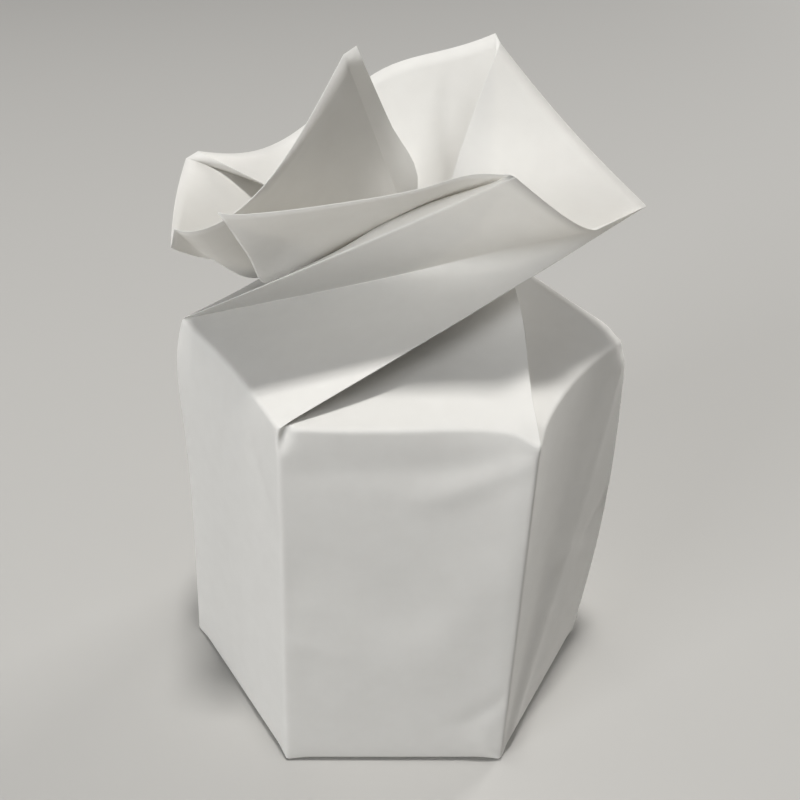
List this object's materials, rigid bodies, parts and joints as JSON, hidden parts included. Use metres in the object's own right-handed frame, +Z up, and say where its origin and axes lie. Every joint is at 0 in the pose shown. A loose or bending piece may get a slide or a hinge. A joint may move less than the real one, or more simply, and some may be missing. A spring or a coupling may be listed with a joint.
{
  "type": "paper food pail",
  "caption": "Hexagonal food pail folded from one plain white sheet, its top twisted shut and flaring out as a pointed collar.",
  "frame": {"origin": "middle of the floor's underside, on the pail's axis", "axes": "+Z up along the pail's axis, through the twisted neck; -Y towards the front wall; +X to the right seen from the front"},
  "size_m": [0.0885, 0.075, 0.1302],
  "materials": {
    "paper": "matt"
  },
  "bodies": {
    "root": {"folded_pail": "paper"}
  },
  "joints": []
}
